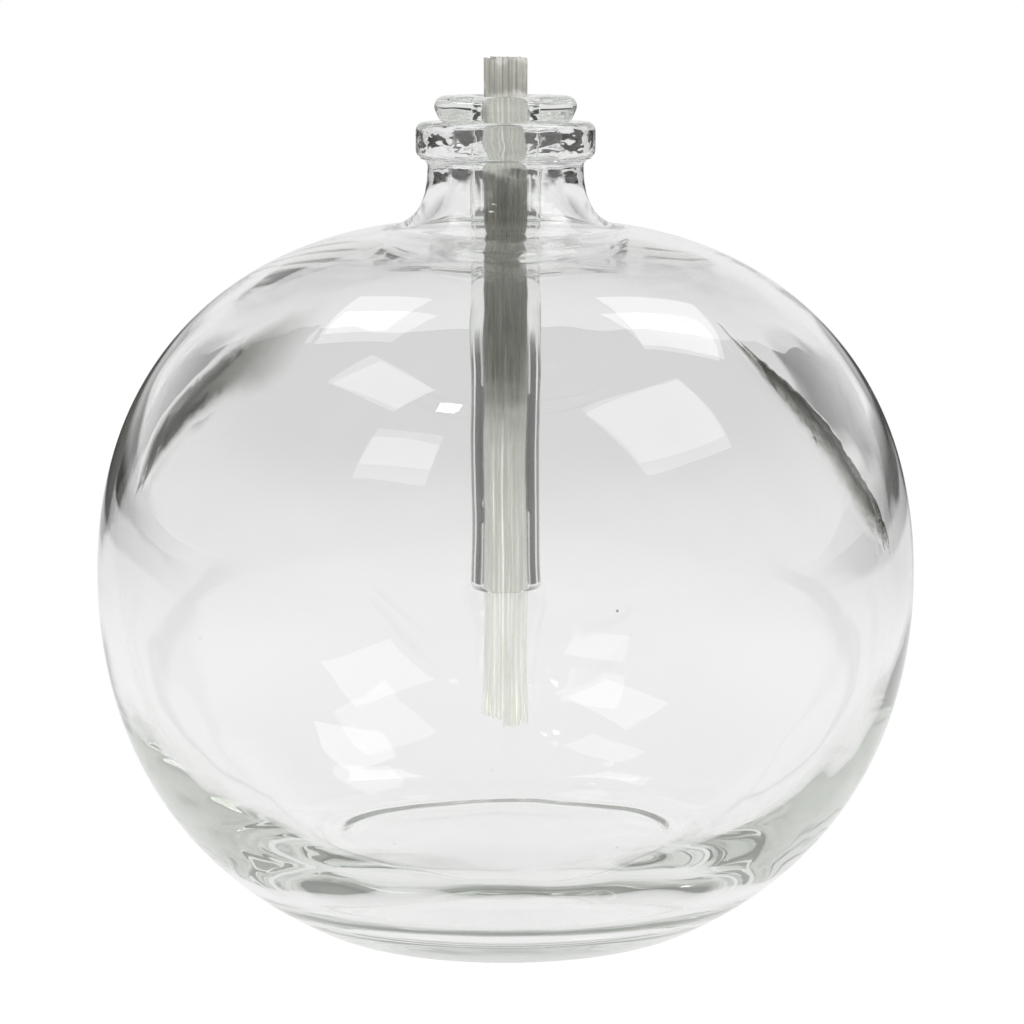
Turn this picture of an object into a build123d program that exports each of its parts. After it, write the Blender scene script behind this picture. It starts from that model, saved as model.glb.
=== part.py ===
from build123d import *

import os

# A refillable glass oil lamp: a blown globe with a bottle neck, a glass wick holder that hangs in
# the neck by its flange, and a glass-fibre wick of two plies laid side by side in the holder's tube.
# Millimetres. The origin is on the table, under the middle of the globe, and +Z is up.

# The globe's outside, from the table up
contact_radius = 26.6  # outer edge of the flat ring that it stands on
push_up_radius = 25.6  # inside that ring the base is pushed up a little
push_up_height = 0.8
heel_round = 6.0
heel_angle = 27.0  # how far the heel turns before the side begins
belly_radius = 57.8
belly_height = 49.7
shoulder_radius = 18.0  # where the shoulder gives way to the flare of the neck
shoulder_height = 98.7
shoulder_slope = 9.2

# How far each curve keeps the direction that it has at its two ends
side_from_heel, side_to_belly = 17.8, 25.2
side_from_floor = 9.0
top_from_belly, top_to_shoulder = 32.3, 18.7
flare_from_shoulder, flare_to_neck = 1.7, 8.6

# The neck and the ring around its mouth
neck_radius = 10.95
flare_top = 107.0
ring_radius = 12.6
ring_bottom = 108.3
mouth_height = 113.4
ring_round = 1.2
under_ring_round = 1.1
mouth_round = 0.8

# The hollow inside
wall = 2.9
floor_height = 7.2
floor_radius = 26.0
floor_round = 14.0
floor_angle = 45.0

# The wick holder: one piece of glass, a tube under a flange
seat_height = mouth_height
tube_radius = 4.95
tube_bore_radius = 3.3
tube_bottom = 46.8
tube_end_round = 0.8
flange_foot_radius = 9.2
flange_radius = 10.9
flange_top = 117.3
flange_dish = 0.8  # how much lower the flange's top is at the bore than at its rim
flange_round = 1.5
bore_lip_round = 0.8
seat_round = 1.0
flange_foot_round = 0.8

# The wick
wick_radius = 3.1
wick_top = 122.4
ply_split = -0.3  # the two plies meet a little to the left of the middle
ply_gap = 0.1
ply_edge_round = 0.35
ply_bottoms = {"left": 28.3, "right": 27.1}

up = Vector(0, 1)

os.makedirs("parts", exist_ok=True)


def blown_wall(foot, side_from_foot, inset):
    """The side, the top and the flare of the globe in one smooth run, set in by a thickness."""
    inwards = Vector(-1, 0).rotate(Axis.Z, -shoulder_slope)
    belly = Vector(belly_radius - inset, belly_height)
    shoulder = Vector(shoulder_radius, shoulder_height) + inwards.rotate(Axis.Z, 90) * inset
    neck = Vector(neck_radius - inset, flare_top)
    side_start = foot @ 1 + (foot % 1) * side_from_foot
    Bezier(foot @ 1, side_start, belly - up * side_to_belly, belly)
    Bezier(belly, belly + up * top_from_belly, shoulder - inwards * top_to_shoulder, shoulder)
    Bezier(shoulder, shoulder + inwards * flare_from_shoulder, neck - up * flare_to_neck, neck)


# The font: globe, neck and ring are one piece of glass
with BuildPart() as font:
    with BuildSketch(Plane.XZ):
        with BuildLine():
            TangentArc((0, push_up_height), (push_up_radius, 0), tangent=(1, 0))
            Line((push_up_radius, 0), (contact_radius, 0))
            heel = JernArc((contact_radius, 0), (1, 0), radius=heel_round, arc_size=heel_angle)
            blown_wall(heel, side_from_heel, 0)
            FilletPolyline(
                (neck_radius, flare_top),
                (neck_radius, ring_bottom),
                (ring_radius, ring_bottom),
                (ring_radius, mouth_height),
                (neck_radius - wall, mouth_height),
                (neck_radius - wall, flare_top),
                radius=(under_ring_round, ring_round, ring_round, mouth_round),
            )
            Line((0, push_up_height), (0, floor_height))
            Line((0, floor_height), (floor_radius, floor_height))
            corner = JernArc(
                (floor_radius, floor_height), (1, 0), radius=floor_round, arc_size=floor_angle
            )
            blown_wall(corner, side_from_floor, wall)
        make_face()
    revolve(axis=Axis.Z)

font.part.label = "font"
export_step(font.part, "parts/font.step")

# The wick holder, its corners named from the inside of the tube's lower end round to the bore's lip
holder_corners = {
    (tube_bore_radius, tube_bottom): tube_end_round,
    (tube_radius, tube_bottom): tube_end_round,
    (tube_radius, seat_height): seat_round,
    (flange_foot_radius, seat_height): flange_foot_round,
    (flange_radius, flange_top): flange_round,
    (tube_bore_radius, flange_top - flange_dish): bore_lip_round,
}
with BuildPart() as wick_holder:
    with BuildSketch(Plane.XZ):
        with BuildLine():
            FilletPolyline(*holder_corners.keys(), close=True, radius=holder_corners.values())
        make_face()
    revolve(axis=Axis.Z)

wick_holder.part.label = "wick_holder"
export_step(wick_holder.part, "parts/wick_holder.step")

# The wick: each ply fills its side of a round section
for side, bottom in ply_bottoms.items():
    with BuildPart() as ply:
        with BuildSketch(Plane.XY.offset(bottom)):
            Circle(wick_radius)
        extrude(amount=wick_top - bottom)
        outwards = -1 if side == "left" else 1
        kept = Keep.BOTTOM if side == "left" else Keep.TOP
        split(bisect_by=Plane.YZ.offset(ply_split + outwards * ply_gap / 2), keep=kept)
        fillet(ply.edges().filter_by(Axis.Z), ply_edge_round)
    ply.part.label = f"wick_ply_{side}"
    export_step(ply.part, f"parts/wick_ply_{side}.step")
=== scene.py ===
import math
import random

import bmesh
import bpy
from mathutils import Matrix, Vector, noise
from mathutils.geometry import interpolate_bezier


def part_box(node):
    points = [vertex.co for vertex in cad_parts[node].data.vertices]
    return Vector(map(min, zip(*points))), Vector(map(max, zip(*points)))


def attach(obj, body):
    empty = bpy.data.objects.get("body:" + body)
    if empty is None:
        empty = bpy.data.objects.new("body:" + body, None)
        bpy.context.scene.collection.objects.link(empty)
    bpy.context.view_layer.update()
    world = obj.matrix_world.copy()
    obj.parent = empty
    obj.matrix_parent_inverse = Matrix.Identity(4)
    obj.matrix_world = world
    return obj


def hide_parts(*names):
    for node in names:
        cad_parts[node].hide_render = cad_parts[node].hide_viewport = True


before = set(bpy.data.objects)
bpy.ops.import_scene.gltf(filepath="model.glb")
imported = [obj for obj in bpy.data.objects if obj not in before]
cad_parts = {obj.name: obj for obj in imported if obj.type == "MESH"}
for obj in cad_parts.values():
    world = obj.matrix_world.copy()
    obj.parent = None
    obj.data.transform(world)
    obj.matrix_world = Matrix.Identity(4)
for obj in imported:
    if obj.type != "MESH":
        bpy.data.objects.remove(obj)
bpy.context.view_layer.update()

MM = 0.001
UP = Vector((0, 0, 1))

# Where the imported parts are
font_low, font_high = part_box("font")
holder_low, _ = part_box("wick_holder")
BELLY_RADIUS = (font_high.x - font_low.x) / 2 / MM
MOUTH_HEIGHT = font_high.z / MM
TUBE_BOTTOM = holder_low.z / MM

# The globe's wall, in millimetres, as it is blown
CONTACT_RADIUS = 26.6
PUSH_UP_RADIUS = 25.6
PUSH_UP_HEIGHT = 0.9
PUSH_UP_ROUND = 2.3
HEEL_ROUND = 6.0
HEEL_ANGLE = math.radians(27)
BELLY_HEIGHT = 49.7
SHOULDER = Vector((18.0, 98.7))
SHOULDER_SLOPE = math.radians(9.2)
NECK_RADIUS = 10.95
FLARE_TOP = 107.0
RING_RADIUS = 12.6
RING_BOTTOM = 108.3
WALL = 2.9
FLOOR_HEIGHT = 7.2
FLOOR_RADIUS = 26.0
FLOOR_ROUND = 14.0
FLOOR_ANGLE = math.radians(45)

# How far each curve of the wall keeps the direction that it has at its two ends
SIDE_FROM_HEEL, SIDE_FROM_FLOOR, SIDE_TO_BELLY = 17.8, 9.0, 25.2
TOP_FROM_BELLY, TOP_TO_SHOULDER = 32.3, 18.7
FLARE_FROM_SHOULDER, FLARE_TO_NECK = 1.7, 8.6
WALL_STEPS = 48
FONT_STEPS_AROUND = 192
HOLDER_STEPS_AROUND = 96

# The wick holder's one piece of glass
TUBE_RADIUS = 4.95
TUBE_BORE = 3.3
FLANGE_FOOT = 9.2
FLANGE_CORNER = Vector((10.9, 117.3))
FLANGE_DISH = 0.8

# The wick: two plies of glass-fibre yarn, side by side
WICK_RADIUS = 3.1
PLY_SPLIT = -0.3
PLY_GAP = 0.02
YARN_RADIUS = 0.24
YARN_SPACING = 0.43
TAIL_STARTS = 36.5
SHADE_FROM, SHADE_TO = 60, 130
# Painted shade on the wick: height in mm, with about 7 mm added by the patchy shade edge, and how dark the
# wick is painted there
WICK_PAINTED_SHADE = ((72, 0.08), (84, 0.75), (92, 1), (112, 1), (115, 0.12), (123, 0.12), (126, 0.6))

# How bright the room is, against the white table
NEAR_TABLE_LIGHT = 0.9
FAR_TABLE_LIGHT = 0.69
WALL_LIGHT = 0.86
ABOVE_LIGHT = 0.38
DARK_ROOM = "#1F211C"  # past the table, on either side of the backdrop


# ---------------------------------------------------------------- outlines


def curve(start, start_handle, end_handle, end, steps):
    """Points along one smooth curve, without its last point."""
    points = interpolate_bezier(start, start_handle, end_handle, end, steps + 1)
    return [Vector(p[:2]) for p in points[:-1]]


def arc(start, direction, radius, angle, steps):
    """Points along an arc that bends to the left, the last one included, and its direction there."""
    side = Vector((-direction.y, direction.x))
    centre = start + side * radius
    turns = [Matrix.Rotation(angle * i / steps, 2) for i in range(steps + 1)]
    return [centre + turn @ (start - centre) for turn in turns], turns[-1] @ direction


def rounded(corners, steps=7):
    """Points along straight runs, each corner (r, z, radius) rounded by its own radius."""
    points = []
    for before, corner, after in zip(corners, corners[1:], corners[2:]):
        here = Vector(corner[:2])
        back = (Vector(before[:2]) - here).normalized()
        on = (Vector(after[:2]) - here).normalized()
        half = back.angle(on) / 2
        reach = corner[2] / math.tan(half)
        pull = reach - 4 / 3 * math.tan((math.pi - 2 * half) / 4) * corner[2]
        points += curve(here + back * reach, here + back * pull, here + on * pull, here + on * reach, steps)
        points.append(here + on * reach)
    return points


def blown_wall(foot, direction, from_foot, inset):
    """The globe's side, its top and the flare of the neck, set in by a thickness."""
    up = Vector((0, 1))
    inwards = Vector((-math.cos(SHOULDER_SLOPE), math.sin(SHOULDER_SLOPE)))
    belly = Vector((BELLY_RADIUS - inset, BELLY_HEIGHT))
    shoulder = SHOULDER + Vector((-inwards.y, inwards.x)) * inset
    neck = Vector((NECK_RADIUS - inset, FLARE_TOP))
    side = curve(foot, foot + direction * from_foot, belly - up * SIDE_TO_BELLY, belly, WALL_STEPS)
    top = curve(
        belly, belly + up * TOP_FROM_BELLY, shoulder - inwards * TOP_TO_SHOULDER, shoulder, WALL_STEPS
    )
    flare = curve(
        shoulder,
        shoulder + inwards * FLARE_FROM_SHOULDER,
        neck - up * FLARE_TO_NECK,
        neck,
        WALL_STEPS // 4,
    )
    return side + top + flare


# ---------------------------------------------------------------- meshes


def spun(name, profile, closed, around):
    """A glass piece turned from its profile."""
    shape = bmesh.new()
    points = [shape.verts.new((point.x * MM, 0, point.y * MM)) for point in profile]
    pairs = list(zip(points, points[1:])) + ([(points[-1], points[0])] if closed else [])
    edges = [shape.edges.new(pair) for pair in pairs]
    bmesh.ops.spin(
        shape, geom=points + edges, axis=UP, cent=(0, 0, 0), angle=math.tau, steps=around, use_merge=True
    )
    bmesh.ops.remove_doubles(shape, verts=shape.verts, dist=0.0005 * MM)
    bmesh.ops.recalc_face_normals(shape, faces=shape.faces)
    for face in shape.faces:
        face.smooth = True
    mesh = bpy.data.meshes.new(name)
    shape.to_mesh(mesh)
    shape.free()
    piece = bpy.data.objects.new(name, mesh)
    bpy.context.scene.collection.objects.link(piece)
    return piece


def make_font():
    """The font: globe, neck and ring."""
    heel, heel_way = arc(Vector((CONTACT_RADIUS, 0)), Vector((1, 0)), HEEL_ROUND, HEEL_ANGLE, 8)
    rim = Vector((FLOOR_RADIUS, FLOOR_HEIGHT))
    corner, corner_way = arc(rim, Vector((1, 0)), FLOOR_ROUND, FLOOR_ANGLE, 14)
    bore = NECK_RADIUS - WALL
    step = Vector((PUSH_UP_RADIUS - PUSH_UP_ROUND, PUSH_UP_HEIGHT * 0.6))
    base = curve(
        Vector((0, PUSH_UP_HEIGHT)),
        Vector((step.x / 2, PUSH_UP_HEIGHT)),
        step - Vector((step.x / 3, -0.1)),
        step,
        16,
    )
    ring_edge = Vector((PUSH_UP_RADIUS, 0))
    base += curve(step, step + Vector((0.8, -0.15)), ring_edge - Vector((0.5, 0)), ring_edge, 8)
    base += [ring_edge, Vector(((PUSH_UP_RADIUS + CONTACT_RADIUS) / 2, 0))]
    outside = base + heel[:-1] + blown_wall(heel[-1], heel_way, SIDE_FROM_HEEL, 0)
    ring = rounded(
        [
            (NECK_RADIUS, FLARE_TOP, 0),
            (NECK_RADIUS, RING_BOTTOM, 1.1),
            (RING_RADIUS, RING_BOTTOM, 1.2),
            (RING_RADIUS, MOUTH_HEIGHT, 1.2),
            (bore, MOUTH_HEIGHT, 0.8),
            (bore, FLARE_TOP, 0),
        ]
    )
    floor = [Vector((FLOOR_RADIUS * i / 20, FLOOR_HEIGHT)) for i in range(20)]
    inside = floor + corner[:-1] + blown_wall(corner[-1], corner_way, SIDE_FROM_FLOOR, WALL)
    inside.append(Vector((bore, FLARE_TOP)))
    profile = outside + [Vector((NECK_RADIUS, FLARE_TOP))] + ring + inside[::-1]
    return spun("font_glass", profile, False, FONT_STEPS_AROUND)


def make_holder():
    """The wick holder: flange and tube."""
    corners = [
        (TUBE_BORE, TUBE_BOTTOM, 0.8),
        (TUBE_RADIUS, TUBE_BOTTOM, 0.8),
        (TUBE_RADIUS, MOUTH_HEIGHT, 1.0),
        (FLANGE_FOOT, MOUTH_HEIGHT, 0.8),
        (FLANGE_CORNER.x, FLANGE_CORNER.y, 1.5),
        (TUBE_BORE, FLANGE_CORNER.y - FLANGE_DISH, 0.8),
    ]
    profile = rounded([corners[-1]] + corners + [corners[0]])
    return spun("wick_holder_glass", profile, True, HOLDER_STEPS_AROUND)


def make_ply(name, node, side, seed):
    """One ply of the wick: straight yarns packed side by side, cut off above and frayed below."""
    low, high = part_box(node)
    chance = random.Random(seed)
    noise.seed_set(seed)
    yarns = bpy.data.curves.new(name, "CURVE")
    yarns.dimensions = "3D"
    yarns.bevel_depth = YARN_RADIUS * MM
    yarns.bevel_resolution = 1
    yarns.use_fill_caps = True
    reach = WICK_RADIUS - YARN_RADIUS
    flat = PLY_SPLIT * side + YARN_RADIUS + PLY_GAP / 2
    rows = int(reach / YARN_SPACING) + 2
    for row in range(-rows, rows + 1):
        for column in range(-rows, rows + 1):
            centre = Vector((column + 0.5 * (row % 2), row * math.sqrt(3) / 2)) * YARN_SPACING
            if centre.length > reach + 0.12 or centre.x * side < flat - 0.2:
                continue
            top = high.z / MM - chance.uniform(0, 0.45)
            bottom = low.z / MM + abs(chance.gauss(0, 0.7))
            heights = [top - (top - TAIL_STARTS) * i / 14 for i in range(15)]
            heights += [TAIL_STARTS - (TAIL_STARTS - bottom) * i / 6 for i in range(1, 7)]
            phase = chance.uniform(0, 100)
            away = Vector((chance.gauss(0, 0.16), chance.gauss(0, 0.16))) + centre * 0.13
            spline = yarns.splines.new("POLY")
            spline.points.add(len(heights) - 1)
            for point, height in zip(spline.points, heights):
                wander = noise.noise_vector(Vector((phase, centre.x, height / 7))) * 0.09
                place = centre + Vector((wander.x, wander.y))
                place *= min(1, reach / max(place.length, 0.01))
                place.x = side * max(place.x * side, flat)
                frayed = max(0, (TAIL_STARTS - height) / (TAIL_STARTS - bottom))
                place += away * frayed**1.6
                point.co = (place.x * MM, place.y * MM, height * MM, 1)
                point.radius = 1 - 0.25 * frayed**2
    bundle = bpy.data.objects.new(name, yarns)
    mesh = bpy.data.meshes.new_from_object(bundle)
    bpy.data.objects.remove(bundle)
    bpy.data.curves.remove(yarns)
    mesh.name = name
    for face in mesh.polygons:
        face.use_smooth = True
    piece = bpy.data.objects.new(name, mesh)
    bpy.context.scene.collection.objects.link(piece)
    return piece


# ---------------------------------------------------------------- materials


def linear(code):
    """An sRGB hex colour as linear red, green, blue and alpha."""
    channels = [int(code[i : i + 2], 16) / 255 for i in (1, 3, 5)]
    return [c / 12.92 if c <= 0.04045 else ((c + 0.055) / 1.055) ** 2.4 for c in channels] + [1]


def add(tree, kind, inputs=None, **settings):
    """Adds a node with its settings, and its inputs as values or as links from other sockets."""
    made = tree.nodes.new(kind)
    for name, value in settings.items():
        setattr(made, name, value)
    for name, value in (inputs or {}).items():
        if isinstance(value, bpy.types.NodeSocket):
            tree.links.new(value, made.inputs[name])
        else:
            made.inputs[name].default_value = value
    return made


def new_material(name):
    """An empty material and its node tree."""
    material = bpy.data.materials.new(name)
    material.use_nodes = True
    material.node_tree.nodes.clear()
    return material, material.node_tree


def around_and_up(tree):
    """Where a point is on a round piece: degrees round from the front towards +X, and height in mm."""
    place = add(tree, "ShaderNodeTexCoord").outputs["Object"]
    parts = add(tree, "ShaderNodeSeparateXYZ", {"Vector": place})
    front = add(tree, "ShaderNodeMath", {0: parts.outputs["Y"], 1: -1.0}, operation="MULTIPLY")
    turn = add(
        tree, "ShaderNodeMath", {0: parts.outputs["X"], 1: front.outputs["Value"]}, operation="ARCTAN2"
    )
    degrees = add(tree, "ShaderNodeMath", {0: turn.outputs["Value"]}, operation="DEGREES")
    height = add(tree, "ShaderNodeMath", {0: parts.outputs["Z"], 1: 1000.0}, operation="MULTIPLY")
    return place, degrees.outputs["Value"], height.outputs["Value"]


def right_shoulder_painted_shade(tree, place, degrees, height):
    """Painted shade on the right shoulder: a dark mark put into the glass colour for the dark of the room
    seen through the glass there, ragged above, fading below.
    """
    ragged = add(tree, "ShaderNodeTexNoise", {"Vector": place, "Scale": 1 / (2.2 * MM), "Detail": 5.0})
    along = add(
        tree, "ShaderNodeMapRange", {"Value": degrees, "From Min": 43.5, "From Max": 65.5}
    ).outputs["Result"]
    line = add(tree, "ShaderNodeFloatCurve", {"Value": along})
    spine = line.mapping.curves[0].points
    spine[0].location, spine[1].location = (0, 0.95), (1, 0.24)
    for at in ((0.1, 0.85), (0.26, 0.785), (0.43, 0.70), (0.57, 0.60), (0.7, 0.495), (0.87, 0.39)):
        spine.new(*at)
    line.mapping.update()
    middle = add(
        tree, "ShaderNodeMapRange", {"Value": line.outputs["Value"], "To Min": 45.0, "To Max": 90.0}
    ).outputs["Result"]
    drop = add(tree, "ShaderNodeMath", {0: middle, 1: height}, operation="SUBTRACT").outputs["Value"]
    rough = add(
        tree, "ShaderNodeMath", {0: ragged.outputs["Fac"], 1: 3.2, 2: drop}, operation="MULTIPLY_ADD"
    ).outputs["Value"]
    room = add(tree, "ShaderNodeMath", {0: 1.0, 1: along}, operation="SUBTRACT").outputs["Value"]
    taper = add(tree, "ShaderNodeMath", {0: along, 1: room}, operation="MULTIPLY").outputs["Value"]
    depth = add(
        tree, "ShaderNodeMath", {0: taper, 1: 36.0, 2: 2.2}, operation="MULTIPLY_ADD"
    ).outputs["Value"]
    edge = add(
        tree, "ShaderNodeMapRange", {"Value": rough, "From Min": 1.2, "From Max": 1.6}
    ).outputs["Result"]
    shade = add(
        tree,
        "ShaderNodeMapRange",
        {"Value": rough, "From Min": 1.6, "From Max": depth, "To Min": 1.0, "To Max": 0.0},
        interpolation_type="SMOOTHSTEP",
    ).outputs["Result"]
    ends = add(
        tree,
        "ShaderNodeMapRange",
        {"Value": taper, "From Min": 0.005, "From Max": 0.08},
        interpolation_type="SMOOTHSTEP",
    ).outputs["Result"]
    both = add(tree, "ShaderNodeMath", {0: edge, 1: shade}, operation="MULTIPLY").outputs["Value"]
    return add(tree, "ShaderNodeMath", {0: both, 1: ends}, operation="MULTIPLY").outputs["Value"]


def left_shoulder_painted_shade(tree, place, degrees, height):
    """Painted shade on the left shoulder: a leaf-shaped dark mark put into the glass colour, darkest at its
    lower end.
    """
    uneven = add(
        tree, "ShaderNodeTexNoise", {"Vector": place, "Scale": 1 / (9 * MM), "Detail": 3.0}
    ).outputs["Fac"]
    along = add(
        tree, "ShaderNodeMapRange", {"Value": degrees, "From Min": -36.0, "From Max": -63.0}
    ).outputs["Result"]
    bend = add(tree, "ShaderNodeMath", {0: along, 1: 2.4}, operation="POWER").outputs["Value"]
    middle = add(
        tree, "ShaderNodeMapRange", {"Value": bend, "To Min": 86.5, "To Max": 70.0}
    ).outputs["Result"]
    drop = add(tree, "ShaderNodeMath", {0: middle, 1: height}, operation="SUBTRACT").outputs["Value"]
    shifted = add(
        tree, "ShaderNodeMath", {0: uneven, 1: 5.0, 2: drop}, operation="MULTIPLY_ADD"
    ).outputs["Value"]
    upper = add(
        tree,
        "ShaderNodeMapRange",
        {"Value": shifted, "From Min": -1.5, "From Max": 3.5},
        interpolation_type="SMOOTHSTEP",
    ).outputs["Result"]
    lower = add(
        tree,
        "ShaderNodeMapRange",
        {"Value": shifted, "From Min": 6.0, "From Max": 9.5, "To Min": 1.0, "To Max": 0.0},
        interpolation_type="SMOOTHSTEP",
    ).outputs["Result"]
    grows = add(
        tree, "ShaderNodeMapRange", {"Value": along, "From Min": 0.02, "From Max": 0.85}
    ).outputs["Result"]
    stops = add(
        tree,
        "ShaderNodeMapRange",
        {"Value": along, "From Min": 0.93, "From Max": 1.0, "To Min": 1.0, "To Max": 0.0},
        interpolation_type="SMOOTHSTEP",
    ).outputs["Result"]
    across = add(tree, "ShaderNodeMath", {0: upper, 1: lower}, operation="MULTIPLY").outputs["Value"]
    length = add(tree, "ShaderNodeMath", {0: grows, 1: stops}, operation="MULTIPLY").outputs["Value"]
    return add(tree, "ShaderNodeMath", {0: across, 1: length}, operation="MULTIPLY").outputs["Value"]


def threads(tree, place, spacing_mm, thickness):
    """Fine threads of denser glass: thin meandering lines, as hot glass keeps where it was gathered."""
    flow = add(tree, "ShaderNodeMapping", {"Vector": place, "Scale": (1, 1, 2.2), "Rotation": (0.25, 0.1, 0)})
    field = add(
        tree,
        "ShaderNodeTexNoise",
        {"Vector": flow.outputs["Vector"], "Scale": 1 / (spacing_mm * MM), "Detail": 1.0, "Distortion": 0.6},
    )
    off = add(
        tree, "ShaderNodeMath", {0: field.outputs["Fac"], 1: 0.5}, operation="SUBTRACT"
    ).outputs["Value"]
    near = add(tree, "ShaderNodeMath", {0: off}, operation="ABSOLUTE").outputs["Value"]
    return add(
        tree,
        "ShaderNodeMapRange",
        {"Value": near, "From Min": 0.0, "From Max": thickness, "To Min": 1.0, "To Max": 0.0},
        interpolation_type="SMOOTHSTEP",
    ).outputs["Result"]


def seeds(tree, place):
    """Seeds: pin-point bubbles, a fraction of a millimetre across and far apart."""
    cells = add(tree, "ShaderNodeTexVoronoi", {"Vector": place, "Scale": 1 / (17 * MM)}).outputs["Distance"]
    return add(
        tree,
        "ShaderNodeMapRange",
        {"Value": cells, "From Min": 0.008, "From Max": 0.02, "To Min": 1.0, "To Max": 0.0},
    ).outputs["Result"]


def finish_glass(material, tree, ior, clear, polish, ripple, tint, density, haze):
    """The glass itself: a polished surface, and a little colour and glow that grow with thickness.

    The glow stands in for light that a real room scatters into thick glass.
    """
    surface = add(
        tree,
        "ShaderNodeBsdfPrincipled",
        {
            "Base Color": clear,
            "Roughness": polish,
            "Normal": ripple,
            "IOR": ior,
            "Transmission Weight": 1.0,
        },
    )
    colour = add(tree, "ShaderNodeVolumeAbsorption", {"Color": linear(tint), "Density": density})
    strayed = add(tree, "ShaderNodeEmission", {"Color": linear("#F6F7F4"), "Strength": haze})
    inside = add(tree, "ShaderNodeAddShader", {0: colour.outputs["Volume"], 1: strayed.outputs["Emission"]})
    add(
        tree,
        "ShaderNodeOutputMaterial",
        {"Surface": surface.outputs["BSDF"], "Volume": inside.outputs["Shader"]},
    )
    return material


def blown_glass():
    """Soda-lime glass, blown and fire-polished: clear, grey-green where it is thick, slowly uneven."""
    material, tree = new_material("blown_soda_lime_glass")
    place, degrees, height = around_and_up(tree)
    # Painted shade: dark marks on both shoulders, put into the glass colour.
    right = right_shoulder_painted_shade(tree, place, degrees, height)
    left = left_shoulder_painted_shade(tree, place, degrees, height)
    fine = threads(tree, place, 46, 0.004)
    specks = seeds(tree, place)
    waves = add(
        tree, "ShaderNodeTexNoise", {"Vector": place, "Scale": 1 / (24 * MM), "Detail": 1.5, "Roughness": 0.4}
    ).outputs["Fac"]
    both_painted_shades = add(tree, "ShaderNodeMath", {0: right, 1: left}, operation="MAXIMUM").outputs["Value"]
    shoulder_painted_shade = add(tree, "ShaderNodeMath", {0: both_painted_shades, 1: 0.95}, operation="MULTIPLY").outputs["Value"]
    faint = add(tree, "ShaderNodeMath", {0: fine, 1: 0.012}, operation="MULTIPLY").outputs["Value"]
    marks = add(tree, "ShaderNodeMath", {0: shoulder_painted_shade, 1: faint}, operation="MAXIMUM").outputs["Value"]
    marked = add(tree, "ShaderNodeMath", {0: marks, 1: specks}, operation="MAXIMUM").outputs["Value"]
    # The glass colour: clear, darkened by the painted shoulder shade, the faint threads and the seeds.
    clear = add(tree, "ShaderNodeValToRGB", {"Fac": marked})
    clear.color_ramp.elements[0].color = linear("#FFFFFF")
    clear.color_ramp.elements[1].color = linear("#22231F")
    clear.color_ramp.elements.new(0.5).color = linear("#A3A49D")
    clear.color_ramp.elements.new(0.85).color = linear("#62645C")
    low = add(tree, "ShaderNodeMath", {0: waves, 1: 0.5}, operation="MULTIPLY").outputs["Value"]
    pressed = add(tree, "ShaderNodeMapping", {"Vector": place, "Scale": (1, 1, 2.2)})
    tooled = add(
        tree,
        "ShaderNodeTexNoise",
        {"Vector": pressed.outputs["Vector"], "Scale": 1 / (5 * MM), "Detail": 1.5},
    ).outputs["Fac"]
    ring = add(
        tree,
        "ShaderNodeMapRange",
        {"Value": height, "From Min": 104.0, "From Max": 109.0, "To Min": 0.0, "To Max": 0.4},
        interpolation_type="SMOOTHSTEP",
    ).outputs["Result"]
    tooling = add(
        tree, "ShaderNodeMath", {0: tooled, 1: ring, 2: low}, operation="MULTIPLY_ADD"
    ).outputs["Value"]
    # The painted shoulder shade also raises a slight ridge in the glass surface.
    raised = add(tree, "ShaderNodeMath", {0: shoulder_painted_shade, 1: 0.15, 2: tooling}, operation="MULTIPLY_ADD")
    ripple = add(
        tree, "ShaderNodeBump", {"Height": raised.outputs["Value"], "Strength": 1.0, "Distance": 1 * MM}
    )
    haze = add(tree, "ShaderNodeTexNoise", {"Vector": place, "Scale": 1 / (6 * MM), "Detail": 3.0})
    polish = add(
        tree,
        "ShaderNodeMapRange",
        {"Value": haze.outputs["Fac"], "From Min": 0.4, "From Max": 0.8, "To Min": 0.0, "To Max": 0.025},
    )
    return finish_glass(
        material,
        tree,
        1.52,
        clear.outputs["Color"],
        polish.outputs["Result"],
        ripple.outputs["Normal"],
        "#C2C7BF",
        13,
        1.9,
    )


def drawn_glass():
    """Borosilicate tube, drawn and flame-worked: clear, with faint draw lines along it."""
    material, tree = new_material("drawn_borosilicate_glass")
    place, _, height = around_and_up(tree)
    along = add(tree, "ShaderNodeMapping", {"Vector": place, "Scale": (1, 1, 0.08)})
    lines = add(
        tree,
        "ShaderNodeTexNoise",
        {"Vector": along.outputs["Vector"], "Scale": 1 / (2.5 * MM), "Detail": 2.0},
    )
    worked = add(tree, "ShaderNodeTexNoise", {"Vector": place, "Scale": 1 / (6 * MM), "Detail": 1.0})
    uneven = add(
        tree,
        "ShaderNodeMapRange",
        {"Value": height, "From Min": 112.0, "From Max": 115.0, "To Min": 0.04, "To Max": 0.35},
    ).outputs["Result"]
    low = add(
        tree, "ShaderNodeMath", {0: lines.outputs["Fac"], 1: 0.015}, operation="MULTIPLY"
    ).outputs["Value"]
    raised = add(
        tree, "ShaderNodeMath", {0: worked.outputs["Fac"], 1: uneven, 2: low}, operation="MULTIPLY_ADD"
    ).outputs["Value"]
    ripple = add(tree, "ShaderNodeBump", {"Height": raised, "Strength": 1.0, "Distance": 1 * MM})
    polish = add(
        tree,
        "ShaderNodeMapRange",
        {"Value": lines.outputs["Fac"], "From Min": 0.4, "From Max": 0.8, "To Min": 0.0, "To Max": 0.03},
    )
    clear = add(tree, "ShaderNodeValToRGB", {"Fac": lines.outputs["Fac"]})
    clear.color_ramp.elements[0].color = linear("#FFFFFF")
    clear.color_ramp.elements[1].color = linear("#F1F4EF")
    return finish_glass(
        material,
        tree,
        1.47,
        clear.outputs["Color"],
        polish.outputs["Result"],
        ripple.outputs["Normal"],
        "#CDD0CA",
        12,
        1.5,
    )


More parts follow.
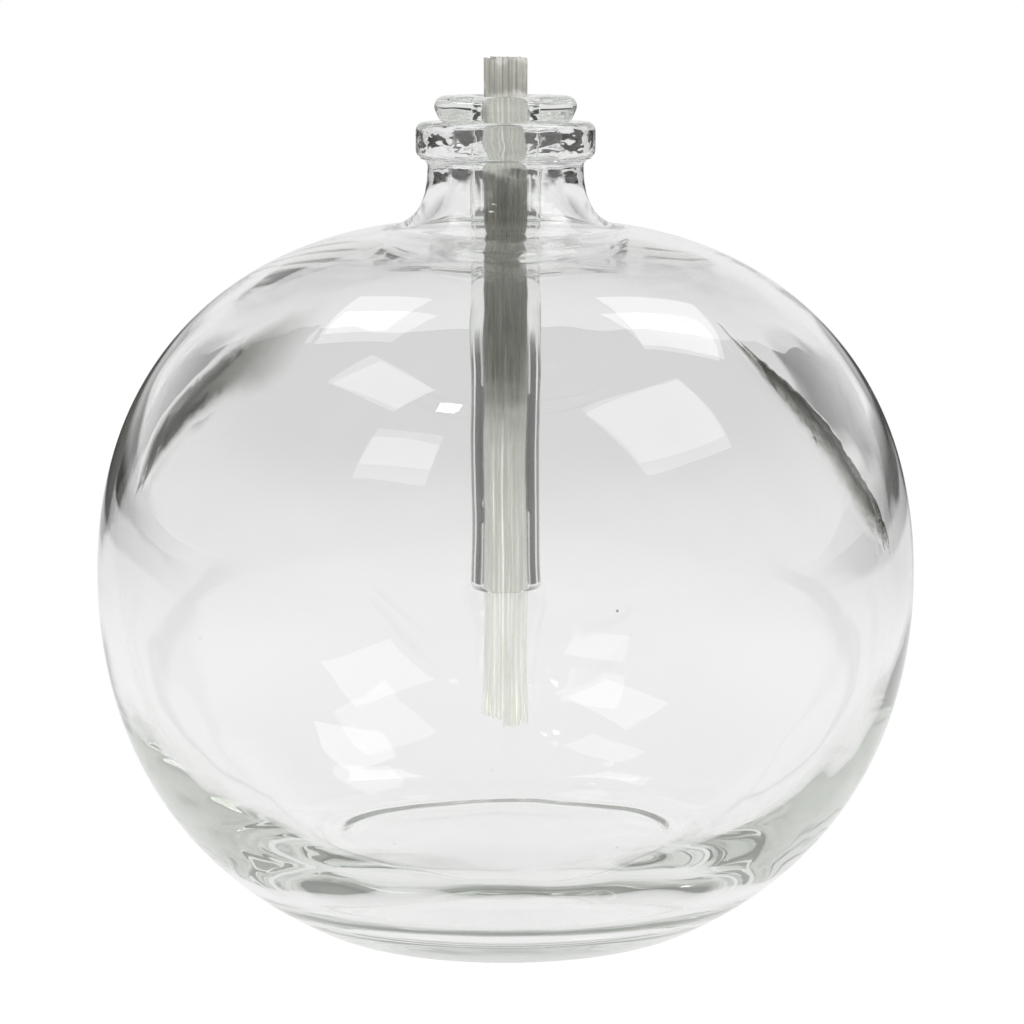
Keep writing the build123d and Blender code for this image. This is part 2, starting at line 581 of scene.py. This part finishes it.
def glass_fibre():
    """Glass-fibre wicking: off-white and silky, with painted shade that darkens it from the upper tube to the
    neck and at its top; it is left pale in the flange.

    Its faint glow stands in for the light that the glass round it focuses onto it.
    """
    material, tree = new_material("glass_fibre_wicking")
    place = add(tree, "ShaderNodeTexCoord").outputs["Object"]
    height = add(tree, "ShaderNodeSeparateXYZ", {"Vector": place}).outputs["Z"]
    along = add(tree, "ShaderNodeMapping", {"Vector": place, "Scale": (1, 1, 0.05)})
    streaks = add(
        tree,
        "ShaderNodeTexNoise",
        {"Vector": along.outputs["Vector"], "Scale": 1 / (0.7 * MM), "Detail": 4.0, "Roughness": 0.7},
    )
    patchy_shade_edge = add(tree, "ShaderNodeTexNoise", {"Vector": place, "Scale": 1 / (5 * MM), "Detail": 3.0})
    shifted = add(
        tree,
        "ShaderNodeMath",
        {0: patchy_shade_edge.outputs["Fac"], 1: 14 * MM, 2: height},
        operation="MULTIPLY_ADD",
    )
    # Painted shade along the wick's height, its edges made patchy by noise.
    level = add(
        tree,
        "ShaderNodeMapRange",
        {"Value": shifted.outputs["Value"], "From Min": SHADE_FROM * MM, "From Max": SHADE_TO * MM},
    ).outputs["Result"]
    painted_shade = add(tree, "ShaderNodeFloatCurve", {"Value": level})
    levels = painted_shade.mapping.curves[0].points
    levels[0].location, levels[1].location = (0, 0), (1, 0.3)
    for height_mm, darkness in WICK_PAINTED_SHADE:
        levels.new((height_mm - SHADE_FROM) / (SHADE_TO - SHADE_FROM), darkness)
    painted_shade.mapping.update()
    pale = add(tree, "ShaderNodeValToRGB", {"Fac": streaks.outputs["Fac"]})
    pale.color_ramp.elements[0].position = 0.34
    pale.color_ramp.elements[0].color = linear("#E6E6DE")
    pale.color_ramp.elements[1].position = 0.62
    pale.color_ramp.elements[1].color = linear("#FCFCF8")
    # The shaded copy of the fibre colour, which the painted shade mixes in.
    dark = add(tree, "ShaderNodeValToRGB", {"Fac": streaks.outputs["Fac"]})
    dark.color_ramp.elements[0].position = 0.34
    dark.color_ramp.elements[0].color = linear("#3B3A30")
    dark.color_ramp.elements[1].position = 0.66
    dark.color_ramp.elements[1].color = linear("#86856F")
    colour = add(tree, "ShaderNodeMix", data_type="RGBA")
    tree.links.new(painted_shade.outputs["Value"], colour.inputs[0])
    tree.links.new(pale.outputs["Color"], colour.inputs[6])
    tree.links.new(dark.outputs["Color"], colour.inputs[7])
    hairs = add(
        tree,
        "ShaderNodeBump",
        {"Height": streaks.outputs["Fac"], "Strength": 0.4, "Distance": 0.08 * MM},
    )
    surface = add(
        tree,
        "ShaderNodeBsdfPrincipled",
        {
            "Base Color": colour.outputs[2],
            "Roughness": 0.45,
            "Normal": hairs.outputs["Normal"],
            "Sheen Weight": 0.3,
            "Sheen Roughness": 0.4,
            "Emission Color": colour.outputs[2],
            "Emission Strength": 0.22,
        },
    )
    add(tree, "ShaderNodeOutputMaterial", {"Surface": surface.outputs["BSDF"]})
    return material


def white_table():
    """A white table. Past its edge it is dark on either side of the backdrop.

    Seen directly it is plain white: only the glass sees its other levels.
    """
    material, tree = new_material("white_table")
    place = add(tree, "ShaderNodeTexCoord").outputs["Object"]
    parts = add(tree, "ShaderNodeSeparateXYZ", {"Vector": place})
    flat = add(tree, "ShaderNodeVectorMath", {0: place, 1: (1, 1, 0)}, operation="MULTIPLY").outputs["Vector"]
    away = add(tree, "ShaderNodeVectorMath", {0: flat}, operation="LENGTH").outputs["Value"]
    sideways = add(tree, "ShaderNodeMath", {0: parts.outputs["X"]}, operation="ABSOLUTE").outputs["Value"]
    past = add(
        tree, "ShaderNodeMath", {0: parts.outputs["Y"], 1: -0.155, 2: sideways}, operation="MULTIPLY_ADD"
    ).outputs["Value"]
    beside = add(
        tree,
        "ShaderNodeMapRange",
        {"Value": past, "From Min": 0.03, "From Max": 0.07},
        interpolation_type="SMOOTHSTEP",
    ).outputs["Result"]
    off_table = add(
        tree,
        "ShaderNodeMapRange",
        {"Value": away, "From Min": 0.52, "From Max": 0.64},
        interpolation_type="SMOOTHSTEP",
    ).outputs["Result"]
    backwards = add(
        tree, "ShaderNodeMath", {0: parts.outputs["Y"], 1: away}, operation="DIVIDE"
    ).outputs["Value"]
    behind = add(
        tree,
        "ShaderNodeMapRange",
        {"Value": backwards, "From Min": 0.0, "From Max": 0.35},
        interpolation_type="SMOOTHSTEP",
    ).outputs["Result"]
    past_edge = add(tree, "ShaderNodeMath", {0: beside, 1: off_table}, operation="MULTIPLY").outputs["Value"]
    dark = add(tree, "ShaderNodeMath", {0: past_edge, 1: behind}, operation="MULTIPLY").outputs["Value"]
    level = add(
        tree,
        "ShaderNodeMapRange",
        {
            "Value": away,
            "From Min": 0.15,
            "From Max": 0.5,
            "To Min": NEAR_TABLE_LIGHT,
            "To Max": FAR_TABLE_LIGHT,
        },
        interpolation_type="SMOOTHSTEP",
    ).outputs["Result"]
    around = add(tree, "ShaderNodeMix", data_type="RGBA")
    tree.links.new(dark, around.inputs[0])
    tree.links.new(level, around.inputs[6])
    around.inputs[7].default_value = linear(DARK_ROOM)
    seen = add(tree, "ShaderNodeLightPath").outputs["Is Camera Ray"]
    shown = add(tree, "ShaderNodeVectorMath", {0: around.outputs[2], 1: seen}, operation="MAXIMUM")
    glow = add(tree, "ShaderNodeEmission", {"Color": shown.outputs["Vector"]})
    matt = add(tree, "ShaderNodeBsdfDiffuse", {"Color": linear("#202020")})
    both = add(tree, "ShaderNodeAddShader", {0: glow.outputs["Emission"], 1: matt.outputs["BSDF"]})
    add(tree, "ShaderNodeOutputMaterial", {"Surface": both.outputs["Shader"]})
    return material


def studio():
    """White walls and a dimmer ceiling, with a dark strip low down on either side of the backdrop.

    Seen directly they are plain white, as the table is.
    """
    world = bpy.data.worlds.new("studio")
    world.use_nodes = True
    tree = world.node_tree
    tree.nodes.clear()
    way = add(tree, "ShaderNodeTexCoord").outputs["Generated"]
    parts = add(tree, "ShaderNodeSeparateXYZ", {"Vector": way})
    level = add(tree, "ShaderNodeValToRGB", {"Fac": parts.outputs["Z"]})
    level.color_ramp.interpolation = "EASE"
    level.color_ramp.elements[0].position = 0.26
    level.color_ramp.elements[0].color = (WALL_LIGHT, WALL_LIGHT, WALL_LIGHT, 1)
    level.color_ramp.elements[1].position = 0.62
    level.color_ramp.elements[1].color = (ABOVE_LIGHT, ABOVE_LIGHT, ABOVE_LIGHT * 1.02, 1)
    sideways = add(tree, "ShaderNodeMath", {0: parts.outputs["X"]}, operation="ABSOLUTE").outputs["Value"]
    beside = add(
        tree,
        "ShaderNodeMapRange",
        {"Value": sideways, "From Min": 0.14, "From Max": 0.22},
        interpolation_type="SMOOTHSTEP",
    ).outputs["Result"]
    low = add(
        tree,
        "ShaderNodeMapRange",
        {"Value": parts.outputs["Z"], "From Min": 0.0, "From Max": 0.07, "To Min": 1.0, "To Max": 0.0},
        interpolation_type="SMOOTHSTEP",
    ).outputs["Result"]
    behind = add(
        tree,
        "ShaderNodeMapRange",
        {"Value": parts.outputs["Y"], "From Min": 0.35, "From Max": 0.65},
        interpolation_type="SMOOTHSTEP",
    ).outputs["Result"]
    low_beside = add(tree, "ShaderNodeMath", {0: beside, 1: low}, operation="MULTIPLY").outputs["Value"]
    dark = add(tree, "ShaderNodeMath", {0: low_beside, 1: behind}, operation="MULTIPLY").outputs["Value"]
    around = add(tree, "ShaderNodeMix", data_type="RGBA")
    tree.links.new(dark, around.inputs[0])
    tree.links.new(level.outputs["Color"], around.inputs[6])
    around.inputs[7].default_value = linear(DARK_ROOM)
    seen = add(tree, "ShaderNodeLightPath").outputs["Is Camera Ray"]
    shown = add(tree, "ShaderNodeVectorMath", {0: around.outputs[2], 1: seen}, operation="MAXIMUM")
    back = add(tree, "ShaderNodeBackground", {"Color": shown.outputs["Vector"], "Strength": 1.0})
    add(tree, "ShaderNodeOutputWorld", {"Surface": back.outputs["Background"]})
    return world


# ---------------------------------------------------------------- the object

font = make_font()
font.data.materials.append(blown_glass())
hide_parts("font")
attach(font, "font")

holder = make_holder()
holder.data.materials.append(drawn_glass())
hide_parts("wick_holder")
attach(holder, "holder")

fibre = glass_fibre()
for name, node, side, seed in (("left_ply", "wick_ply_left", -1, 3), ("right_ply", "wick_ply_right", 1, 8)):
    ply = make_ply(name, node, side, seed)
    ply.data.materials.append(fibre)
    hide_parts(node)
    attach(ply, "wick")

# ---------------------------------------------------------------- camera, floor and light

CAMERA_DISTANCE = 0.470
CAMERA_HEIGHT = 0.1282
CAMERA_PITCH = math.radians(8.47)
camera = bpy.data.objects.new("camera", bpy.data.cameras.new("camera"))
camera.data.lens = 117.45
camera.data.sensor_width = 36
camera.data.clip_start = 0.01
camera.location = (0.0009, -CAMERA_DISTANCE, CAMERA_HEIGHT)
camera.rotation_euler = (math.pi / 2 - CAMERA_PITCH, 0, 0)
bpy.context.scene.collection.objects.link(camera)
bpy.context.scene.camera = camera

shape = bmesh.new()
bmesh.ops.create_grid(shape, x_segments=1, y_segments=1, size=4)
floor_mesh = bpy.data.meshes.new("floor")
shape.to_mesh(floor_mesh)
shape.free()
floor = bpy.data.objects.new("floor", floor_mesh)
bpy.context.scene.collection.objects.link(floor)
floor.data.materials.append(white_table())

bpy.context.scene.world = studio()

LIGHT_DISTANCE = 1.5


def window(name, azimuth, elevation, wide, high, brightness):
    """A soft area light in a direction from the globe. Azimuth 0 is the front, and +90 is +X."""
    side, lift = math.radians(azimuth), math.radians(elevation)
    towards = Vector((math.cos(lift) * math.sin(side), -math.cos(lift) * math.cos(side), math.sin(lift)))
    lamp = bpy.data.lights.new(name, "AREA")
    lamp.shape = "RECTANGLE"
    lamp.size = 2 * LIGHT_DISTANCE * math.tan(math.radians(wide) / 2)
    lamp.size_y = 2 * LIGHT_DISTANCE * math.tan(math.radians(high) / 2)
    lamp.energy = brightness * math.pi * lamp.size * lamp.size_y
    light = bpy.data.objects.new(name, lamp)
    middle = Vector((0, 0, BELLY_HEIGHT * MM))
    light.location = middle + towards * LIGHT_DISTANCE
    light.rotation_euler = (-towards).to_track_quat("-Z", "Y").to_euler()
    bpy.context.scene.collection.objects.link(light)


window("window_back_left", -132, 61, 15, 13, 1.8)
window("window_left", -66, 60, 22, 13, 1.8)
window("window_front_left", -36, 37, 18, 13, 1.8)
window("window_back_right", 125, 57, 22, 18, 2.0)
window("window_front_right", 60, 45, 28, 24, 1.8)
window("small_lamp", -27, 58, 5, 4, 14.0)

bpy.context.scene.view_settings.view_transform = "Standard"
bpy.context.scene.cycles.max_bounces = 32
bpy.context.scene.cycles.transmission_bounces = 32
bpy.context.scene.cycles.glossy_bounces = 32
bpy.context.scene.cycles.diffuse_bounces = 8
bpy.context.scene.cycles.transparent_max_bounces = 16
